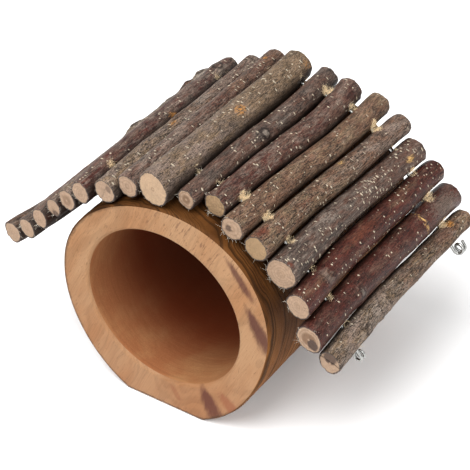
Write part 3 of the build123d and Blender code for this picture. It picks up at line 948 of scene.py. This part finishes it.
# Sizes of the rings of points on a sawn end, as shares of its rim
CUT_RINGS = np.array([0.97, 0.93, 0.88, 0.82, 0.75, 0.68, 0.6, 0.52, 0.44, 0.36, 0.28, 0.2, 0.12, 0.05])
# Dots per square centimetre become dots per square metre. Fibres are counted by the square metre.
PER_SQUARE_CENTIMETRE = 1e4
SPLINTER_DENSITY = 2.6e7
DOT_SEED = 11
SPLINTER_SEED = 51


def branch_runs(look, shape):
    """Distances from the front end at which a stick has a ring, closer at the ends and wire holes."""
    plain = np.linspace(0, shape.length, round(shape.length / (look.ring_step / MM)))
    holes = [row - shape.front + HOLE_STEPS for row in WIRE_ROWS]
    runs = np.concatenate([plain, END_STEPS, shape.length - END_STEPS, *holes])
    return np.unique(runs.round(3))


def mark_distance(run, turn, radius, mark):
    """How far points lie from a knot or spot, as a share of its reach."""
    side = np.angle(np.exp(1j * (turn - math.radians(mark.turn)))) * radius
    return np.hypot((run - mark.at) / mark.long, side / mark.wide)


def lay_colour(colours, share, colour):
    """Puts a colour wherever its share is greater than that of the colour there."""
    over = share > colours[..., 3]
    colours[over, :3] = tuple(colour)
    colours[over, 3] = share[over]


def branch_relief(look, index, run, turn):
    """Height of the bark over the plain round stick, and what shows on it."""
    shape, branch = SHAPES[index], BRANCHES[index]
    radius = shape.radius(shape.front + run)
    straight = np.stack([radius * np.sin(turn), run, radius * np.cos(turn)], axis=-1)
    seed = index + 1
    lumps = rough(straight * (0.09, 0.05, 0.09), seed) + 0.5 * rough(straight * (0.2, 0.12, 0.2), seed + 40)
    height = look.lumps / MM * (lumps - 0.1)
    furrows = rough(straight * (1.1, 0.07, 1.1), seed + 80)
    furrows = furrows + 0.6 * rough(straight * (2.4, 0.25, 2.4), seed + 120)
    wrinkles = rough(straight * (0.5, 1.6, 0.5), seed + 160)
    # The dark marks are the furrows and knot scars; painted shade at the sides and in the wire holes is stored
    # with them.
    cavity = 0.3 * branch.coarse * ease(-furrows, 0.4, 0.9)
    # Painted shade between the sticks: the sides that face a neighbour darken towards the underside.
    facing_left, facing_right = index > 0, index < len(SHAPES) - 1
    against = np.where(np.sin(turn) < 0, facing_left, facing_right)
    cavity = np.maximum(cavity, 0.8 * against * ease(-np.cos(turn), -0.6, 0.05))
    height = height + branch.furrow * (furrows + 0.35 * wrinkles - 0.2)
    bare, scars, torn = (np.zeros_like(run) for _ in range(3))
    for knot in branch.knots:
        away = mark_distance(run, turn, radius, knot)
        height = height + knot.rise * np.exp(-(away**2)) * (1 + 0.25 * rough(straight * 0.6, seed + 7))
        scar = np.exp(-(((away + 0.12 * rough(straight * 0.9, seed + 5) - 0.45) / 0.14) ** 2))
        height = height - 0.2 * np.clip(knot.rise, 0, 0.9) * scar
        cavity = np.maximum(cavity, min(0.95, 0.25 + 0.6 * abs(knot.rise)) * scar)
        scars = np.maximum(scars, scar)
        bare = np.maximum(bare, ease(-away, -0.7, -0.4))
    colours = np.zeros((*run.shape, 4))
    for spot in branch.spots:
        share = spot.strength * np.exp(-(mark_distance(run, turn, radius, spot) ** 2))
        lay_colour(colours, share, getattr(look, spot.colour))
    colours[..., 3] *= 1 - 0.85 * scars
    for row, amounts in zip(WIRE_ROWS, (branch.tufts[:2], branch.tufts[2:])):
        at = row - shape.front
        for mouth, amount in zip(shape.mouths(row), amounts):
            hole = mark_distance(run, turn, radius, Knot(at, math.degrees(mouth), 0, 1, 1))
            height = height - HOLE_DEPTH * ease(-hole, -1.1, -0.85)
            # Painted shade in the mouth of each wire hole.
            cavity = np.maximum(cavity, ease(-hole, -1.15, -0.9))
            frayed = Knot(at, math.degrees(mouth) * 0.72, 0, 0.9 + 1.3 * amount, 1.0 + 1.3 * amount)
            ragged = mark_distance(run, turn, radius, frayed) + 0.6 * rough(straight * 1.1, seed + 11)
            shown = min(1.0, 1.2 * amount) * ease(-ragged, -1.0, -0.5)
            torn = np.maximum(torn, shown * (1 - ease(-hole, -1.1, -0.95)))
    lay_colour(colours, 0.4 * torn, look.tuft)
    room = SIDE_ROOM + TOP_ROOM * ease(np.cos(turn), 0.3, 0.75)
    return straight, np.minimum(height, room), cavity, colours, torn, bare


def cut_disc(index, rim, hub, outwards):
    """Rings of points over one sawn end, and how far each lies in the crack."""
    cut = BRANCHES[index].cut
    disc = hub + (rim - hub) * CUT_RINGS[:, None, None]
    offset = (disc - hub) * (1, 0, 1)
    saw = 0.05 * rough(offset * (1.1, 0, 0.25), index + 3) + 0.04 * rough(offset * 0.8, index + 9)
    crack = np.zeros(disc.shape[:2])
    if cut.crack_depth and outwards < 0:
        slope = math.radians(cut.crack_turn)
        across = offset[..., 2] * math.cos(slope) - offset[..., 0] * math.sin(slope) - cut.crack_up
        wander = across + 0.35 * rough(offset * 0.7, index + 21)
        crack = min(1.0, 5 * cut.crack_depth) * np.exp(-((wander / 0.22) ** 2))
    disc[..., 1] += outwards * (saw - cut.crack_depth * 2 * crack)
    return disc, crack


def fibre_growth(index, run, aside, straight, from_end, torn):
    """Where torn fibres grow, and which way they stand."""
    facing = aside / np.linalg.norm(aside, axis=-1, keepdims=True)
    lower_left_edge = np.clip(facing @ WORN_SIDE, 0, 1) ** 1.5 + 0.06
    at_end = (from_end < 0.05).astype(float)
    hairy = ease(rough(straight * (0.5, 0, 0.5), index + 81), -0.25, 0.45)
    fray = np.maximum(0.7 * at_end * lower_left_edge * hairy, 0.8 * torn)
    ahead = np.where(run < SHAPES[index].length / 2, -1.0, 1.0) * at_end
    way = np.stack([facing[..., 0], 0.8 * ahead, facing[..., 1] + 0.5 * (1 - at_end)], axis=-1)
    return fray, way


def dot_growth(index, turn, straight, from_end, marked, bare):
    """Where dots grow: in patches, off the sides, the ends, the marks and the knots."""
    patchy = ease(rough(straight * (0.12, 0.07, 0.12), index + 33), -0.5, 0.3)
    sideways = np.abs(np.sin(turn))
    sides = 1 - 0.8 * ease(sideways, 0.8, 0.97) - 0.2 * ease(sideways, 0.97, 0.99)
    dots = (0.6 + 0.4 * patchy) * sides * (1 - ease(marked, 0.2, 0.5)) * (1 - bare)
    return dots * ease(from_end, 0.6, 1.2)


def build_branch(look, index):
    """One stick with its bark, both sawn ends, and what the dots and splinters need to know."""
    shape, branch = SHAPES[index], BRANCHES[index]
    columns = look.columns
    runs = branch_runs(look, shape)
    rings = len(runs)
    turns = np.linspace(-math.pi, math.pi, columns, endpoint=False)
    run, turn = np.meshgrid(runs, turns, indexing="ij")
    straight, height, cavity, colours, torn, bare = branch_relief(look, index, run, turn)
    from_end = np.minimum(run, shape.length - run)
    near_end = ease(-from_end, -3.0, 0.0)
    height = height + 0.4 * near_end * (rough(straight * (0.4, 0, 0.4), index + 61) - 0.2)
    height = height - 0.3 * np.clip(1 - from_end / 0.3, 0, 1) ** 2
    nicks = np.clip(0.3 + rough(straight * (0.8, 0, 0.8), index + 71), 0, 1)
    chips = 0.35 * ease(-from_end, -0.7, 0.0) * nicks
    inwards = np.where(run < shape.length / 2, chips, -chips)
    y = shape.front + run
    reach = (shape.radius(y) + height)[..., None]
    aside = reach * (np.sin(turn)[..., None] * shape.along + np.cos(turn)[..., None] * shape.out)
    right, up = shape.right(y), shape.up(y)
    lean = np.clip(1 - run / SLANT_REACH, 0, 1) ** 2
    slanted = y - shape.slant * aside[..., 0] * lean + inwards
    bark = np.stack([right + aside[..., 0], slanted, up + aside[..., 1]], axis=-1)
    in_cut = np.stack([aside[..., 0], run, aside[..., 1]], axis=-1)
    total = rings * columns
    blocks = [(bark.reshape(-1, 3), in_cut.reshape(-1, 3), straight.reshape(-1, 3), np.ones(total),
               np.zeros(total))]
    faces = []
    for ring in range(rings - 1):
        faces += strip(ring * columns, (ring + 1) * columns, columns)
    on_bark = len(faces)
    for ring, outwards in ((0, -1), (rings - 1, 1)):
        hub = np.array([right[ring, 0], y[ring, 0], up[ring, 0]])
        disc, crack = cut_disc(index, bark[ring], hub, outwards)
        shift = np.array([0.0, BACK_CUT_SHIFT * (outwards > 0), 0.0])
        blocks.append((disc.reshape(-1, 3), (disc - hub + shift).reshape(-1, 3),
                       np.tile(straight[ring], (len(CUT_RINGS), 1)), np.repeat(CUT_RINGS, columns),
                       crack.ravel()))
        blocks.append((hub[None], shift[None], straight[ring].mean(axis=0)[None], np.zeros(1), np.zeros(1)))
        chain = [ring * columns] + [total + step * columns for step in range(len(CUT_RINGS))]
        centre = total + len(CUT_RINGS) * columns
        cap = [face for pair in zip(chain, chain[1:]) for face in strip(*pair, columns)]
        cap += [(chain[-1] + j, chain[-1] + (j + 1) % columns, centre) for j in range(columns)]
        faces += [face[::-1] for face in cap] if outwards < 0 else cap
        total = centre + 1
    kinds = [0] * on_bark + [1] * (len(faces) - on_bark)
    places, cut_places, straights, edges, cracks = (np.concatenate(parts) for parts in zip(*blocks))
    materials = [make_bark(look, index, branch), make_cut(look, index, branch)]
    piece = make_piece(f"branch_{index + 1:02d}", places, faces, kinds, materials)
    fray, way = fibre_growth(index, run, aside, straight, from_end, torn)
    dots = dot_growth(index, turn, straight, from_end, colours[..., 3], bare)
    keep(piece, "place", "FLOAT_VECTOR", straights)
    keep(piece, "cut_place", "FLOAT_VECTOR", cut_places)
    keep(piece, "edge", "FLOAT", edges)
    keep(piece, "crack", "FLOAT", cracks)
    on_ends = total - rings * columns
    for name, values in {"cavity": cavity, "dots": dots, "torn": torn, "fray": fray}.items():
        keep(piece, name, "FLOAT", np.concatenate([values.ravel(), np.zeros(on_ends)]))
    keep(piece, "fray_way", "FLOAT_VECTOR", np.concatenate([way.reshape(-1, 3), np.zeros((on_ends, 3))]))
    keep(piece, "spot", "FLOAT_COLOR", np.concatenate([colours.reshape(-1, 4), np.zeros((on_ends, 4))]))
    return piece


# Tunnel, in millimetres
TUNNEL_COLUMNS = 360
OUTER_RINGS = 104
FACE_RINGS = 20
BORE_RINGS = 60
# Points this far outside the bore are on the outer wall, and above this height the wall has relief
LEAST_WALL = 3
FOOT_HEIGHT = 0.5


def tunnel_outline(angles):
    """Distance of the tunnel's outer wall from the bore's middle, by angle."""
    points = slice_solid(read_lines("tunnel_log"), 0.0) - np.array([0.0, BORE_HEIGHT])
    outer = points[np.hypot(*points.T) > BORE_RADIUS + LEAST_WALL]
    turn = np.arctan2(outer[:, 1], outer[:, 0])
    order = np.argsort(turn)
    reach = np.interp(angles, turn[order], np.hypot(*outer[order].T), period=2 * math.pi)
    downwards = np.maximum(-np.sin(angles), 1e-6)
    return np.minimum(reach, BORE_HEIGHT / downwards)


def tunnel_rings(look, outline):
    """Rings round the tunnel: its outer wall, one face, the bore and the other face, numbered by kind."""
    low, high = (corner[1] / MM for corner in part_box("tunnel_log"))
    rim, mouth = look.rim_bevel / MM, look.mouth_bevel / MM
    shares = np.linspace(0, 1, FACE_RINGS)
    across = [(outline - rim) * (1 - share) + (BORE_RADIUS + mouth) * share for share in shares]
    wall = np.full(TUNNEL_COLUMNS, BORE_RADIUS)
    rings = [(outline, y, 0) for y in np.linspace(low + rim, high - rim, OUTER_RINGS)]
    rings += [(reach, high, 1) for reach in across]
    rings += [(wall, y, 2) for y in np.linspace(high - mouth, low + mouth, BORE_RINGS)]
    rings += [(reach, low, 1) for reach in reversed(across)]
    return rings


def build_tunnel(look):
    columns = TUNNEL_COLUMNS
    angles = np.linspace(-math.pi, math.pi, columns, endpoint=False)
    outline = tunnel_outline(angles)
    rings = tunnel_rings(look, outline)
    reaches = np.array([reach for reach, _, _ in rings])
    runs = np.repeat([[y] for _, y, _ in rings], columns, axis=1)
    places = np.stack([reaches * np.cos(angles), runs, BORE_HEIGHT + reaches * np.sin(angles)], axis=-1)
    outer = places[:OUTER_RINGS]
    right, run, up = np.moveaxis(outer, -1, 0)
    cosine, sine = math.cos(look.grain_turn), math.sin(look.grain_turn)
    leaning = np.stack([right * cosine - up * sine, run, right * sine + up * cosine], axis=-1)
    ridges = rough(leaning * (0.12, 0.3, 0.03), 5) + 0.6 * rough(leaning * (0.3, 0.8, 0.06), 6)
    depth = look.relief / MM * (0.8 - ridges) * 0.5 * (up > FOOT_HEIGHT)
    outwards = np.stack([np.cos(angles), np.zeros(columns), np.sin(angles)], axis=-1)
    outer -= depth[..., None] * outwards
    faces, kinds = [], []
    for ring, (_, _, kind) in enumerate(rings):
        other = (ring + 1) % len(rings)
        faces += [face[::-1] for face in strip(ring * columns, other * columns, columns)]
        kinds += [min(kind, rings[other][2])] * columns
    materials = [
        make_wood(look, "outer_wall", "side", "dusk", 0.8, 0.7, 0.6, 0.05, add_painted_shade_under_bridge),
        make_wood(look, "sanded_face", "face", "warm", 0.16, 0.5, 0.65, 0.15, add_streaks),
        make_wood(look, "bored_wall", "bore", "warm", 0.06, 0.05, 0.7, 0.03, add_turning_marks_and_painted_shade),
    ]
    piece = make_piece("tunnel", places.reshape(-1, 3), faces, kinds, materials)
    keep(piece, "from_rim", "FLOAT", np.clip(outline - look.rim_bevel / MM - reaches, 0, None))
    return piece


# Wires. Points in a bend, in a straight run, in the run up to an eye and in one turn of an eye.
BEND_POINTS = 17
STRAIGHT_POINTS = 6
LEAD_POINTS = 12
EYE_POINTS = 40


def lay_wire(name, points, look, tree, steel):
    mesh = bpy.data.meshes.new(name + ".line")
    mesh.from_pydata((np.asarray(points) * MM).tolist(), [(k, k + 1) for k in range(len(points) - 1)], [])
    wire = grow(name, mesh, tree, {"Radius": look.diameter / 2, "Material": steel})
    return wire


def bend_points(start, corner, end, reach):
    """Two straight runs joined by a rounded bend of that reach on each side of the corner."""
    first, last = corner + unit(start - corner) * reach, corner + unit(end - corner) * reach
    share = np.linspace(0, 1, BEND_POINTS)[:, None]
    curve = (1 - share) ** 2 * first + 2 * share * (1 - share) * corner + share**2 * last
    straight = np.linspace(0, 1, STRAIGHT_POINTS)[:, None]
    lead = start + (first - start) * straight[:-1]
    trail = last + (end - last) * straight[1:]
    return np.concatenate([lead, curve, trail])


def eye_points(look, shape, row, away, inward):
    """An end eye: straight out of the stick, one and a half turns, then a short tail."""
    start, end = shape.wire_run(row)
    run = unit(end - start)
    along, out = run * away, np.array([-run[1], run[0]]) * inward
    ring, pitch = look.eye_radius / MM, look.eye_pitch / MM
    reach = shape.radius(row) + (look.eye_radius + look.diameter / 2 + look.eye_clearance) / MM
    start = shape.centre(row) + along * reach
    turn = np.linspace(0, 2 * math.pi * look.eye_turns, round(EYE_POINTS * look.eye_turns))[:, None]
    circle = start + ring * (np.sin(turn) * along + (1 - np.cos(turn)) * out)
    lead = shape.centre(row) + along * np.linspace(0, reach, LEAD_POINTS)[:-1, None]
    onwards = np.linspace(0, look.eye_tail / MM, STRAIGHT_POINTS)[1:, None]
    tail = circle[-1] + unit(circle[-1] - circle[-2]) * onwards
    flat = np.concatenate([lead, circle, tail])
    climb = np.concatenate([np.zeros(len(lead)), pitch * turn[:, 0] / (2 * math.pi)])
    climb = np.concatenate([climb, np.full(len(tail), climb[-1])])
    return np.stack([flat[:, 0], row + climb, flat[:, 1]], axis=-1)


class TUNNEL_OT_tunnel(bpy.types.Operator):
    """Build the turned wooden tunnel"""

    bl_idname = "tunnel.tunnel"
    bl_label = "Tunnel"

    def execute(self, context):
        make_wood_group()
        make_streak_group()
        piece = build_tunnel(context.scene.tunnel_log)
        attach(piece, "tunnel_log")
        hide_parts("tunnel_log")
        return {"FINISHED"}


class TUNNEL_OT_branches(bpy.types.Operator):
    """Build the barked sticks with their dots and torn fibres"""

    bl_idname = "tunnel.branches"
    bl_label = "Sticks"

    def execute(self, context):
        look = context.scene.tunnel_branches
        make_bark_group()
        make_cut_group()
        dot_tree, splinter_tree = make_dot_tree(), make_splinter_tree()
        dot = make_plain("bark_dot", look.dot, 0.5, 1.25, 0.7, (0.8, 0.8, 0.8))
        fibre = make_fibre(look)
        for index, branch in enumerate(BRANCHES):
            number = f"{index + 1:02d}"
            body = f"stick_{number}"
            piece = build_branch(look, index)
            dots = grow(f"dots_{number}", piece.data, dot_tree,
                        {"Density": branch.dots * PER_SQUARE_CENTIMETRE, "Size": look.dot_size,
                         "Stretch": branch.dash, "Seed": DOT_SEED + index, "Material": dot})
            splinters = grow(f"splinters_{number}", piece.data, splinter_tree,
                             {"Density": SPLINTER_DENSITY, "Length": look.splinter_length,
                              "Half Width": look.splinter_width, "Seed": SPLINTER_SEED + index,
                              "Material": fibre})
            for part in (piece, dots, splinters):
                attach(part, body)
                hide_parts(body)
        return {"FINISHED"}


class TUNNEL_OT_wires(bpy.types.Operator):
    """Build the two wires: a bending span in each gap and an eye at each end"""

    bl_idname = "tunnel.wires"
    bl_label = "Wires"

    def execute(self, context):
        look = context.scene.tunnel_wires
        tree, steel = make_wire_tree(), make_steel(look)
        reach = look.bend / MM
        for wire, row, inward in zip(WIRES, WIRE_ROWS, (-1, 1)):
            for left in range(len(HINGES)):
                corner = bend_at(left, row)
                start, end = (sum(SHAPES[side].wire_run(row)) / 2 for side in (left, left + 1))
                flat = bend_points(start, corner, end, reach)
                points = np.stack([flat[:, 0], np.full(len(flat), row), flat[:, 1]], axis=-1)
                span = lay_wire(f"{wire}_{left + 1:02d}_{left + 2:02d}", points, look, tree, steel)
                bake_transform(span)
                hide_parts(wire)
            for side, index, away in (("left", 0, -1), ("right", len(SHAPES) - 1, 1)):
                points = eye_points(look, SHAPES[index], row, away, inward)
                eye = lay_wire(f"{wire}_{side}_eye", points, look, tree, steel)
                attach(eye, f"stick_{index + 1:02d}")
                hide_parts(wire)
        return {"FINISHED"}


# Stage, in metres
FLOOR_HALF = 4.0
LIGHT_AIM = (0.0, 0.0, 0.06)
KEY_PLACE = (-0.15, -0.55, 1.15)
KEY_SIZE = 1.2
FILL_PLACE = (0.9, -0.5, 0.7)
FILL_SIZE = 0.8


def add_light(name, place, size, power):
    data = bpy.data.lights.new(name, "AREA")
    data.shape = "DISK"
    data.size = size
    data.energy = power
    light = bpy.data.objects.new(name, data)
    light.location = place
    light.rotation_euler = (Vector(LIGHT_AIM) - Vector(place)).to_track_quat("-Z", "Y").to_euler()
    bpy.context.scene.collection.objects.link(light)


class TUNNEL_OT_stage(bpy.types.Operator):
    """Lay the pale floor and set the lights and the camera"""

    bl_idname = "tunnel.stage"
    bl_label = "Stage"

    def execute(self, context):
        scene = context.scene
        look = scene.tunnel_stage
        corners = [(x * FLOOR_HALF, y * FLOOR_HALF, 0) for x, y in ((-1, -1), (1, -1), (1, 1), (-1, 1))]
        mesh = bpy.data.meshes.new("floor")
        mesh.from_pydata(corners, [], [(0, 1, 2, 3)])
        mesh.materials.append(make_plain("floor_paint", look.floor, 0.98, 1.02, 0.8, (0.01, 0.01, 0.01)))
        show("floor", mesh)
        world = bpy.data.worlds.new("soft_studio")
        world.use_nodes = True
        world.node_tree.nodes["Background"].inputs["Color"].default_value = (1, 1, 1, 1)
        world.node_tree.nodes["Background"].inputs["Strength"].default_value = look.sky
        scene.world = world
        scene.view_settings.view_transform = "Standard"
        add_light("key", KEY_PLACE, KEY_SIZE, look.key)
        add_light("fill", FILL_PLACE, FILL_SIZE, look.fill)
        data = bpy.data.cameras.new("photo_camera")
        data.lens = look.lens
        camera = bpy.data.objects.new("photo_camera", data)
        level = math.cos(look.lift)
        towards = Vector((math.sin(look.turn) * level, -math.cos(look.turn) * level, math.sin(look.lift)))
        camera.location = Vector(look.target) + towards * look.distance
        camera.rotation_euler = (math.pi / 2 - look.lift, 0, look.turn)
        scene.collection.objects.link(camera)
        scene.camera = camera
        return {"FINISHED"}


class TUNNEL_PT_panel(bpy.types.Panel):
    """Lists the pieces of the tunnel and their looks"""

    bl_idname = "TUNNEL_PT_panel"
    bl_label = "Hamster tunnel"
    bl_space_type = "VIEW_3D"
    bl_region_type = "UI"
    bl_category = "Tunnel"

    def draw(self, context):
        for operator, group, _ in PIECES:
            box = self.layout.box()
            box.operator(operator.bl_idname)
            settings = getattr(context.scene, group)
            for name in settings.__annotations__:
                box.prop(settings, name)


PIECES = (
    (TUNNEL_OT_tunnel, "tunnel_log", LogLook),
    (TUNNEL_OT_branches, "tunnel_branches", BranchLook),
    (TUNNEL_OT_wires, "tunnel_wires", WireLook),
    (TUNNEL_OT_stage, "tunnel_stage", StageLook),
)


def register():
    for operator, group, look in PIECES:
        bpy.utils.register_class(look)
        setattr(bpy.types.Scene, group, PointerProperty(type=look))
        bpy.utils.register_class(operator)
    bpy.utils.register_class(TUNNEL_PT_panel)


def unregister():
    bpy.utils.unregister_class(TUNNEL_PT_panel)
    for operator, group, look in PIECES:
        bpy.utils.unregister_class(operator)
        delattr(bpy.types.Scene, group)
        bpy.utils.unregister_class(look)


def main():
    register()
    bpy.ops.tunnel.tunnel()
    bpy.ops.tunnel.branches()
    bpy.ops.tunnel.wires()
    bpy.ops.tunnel.stage()


if __name__ == "__main__":
    main()
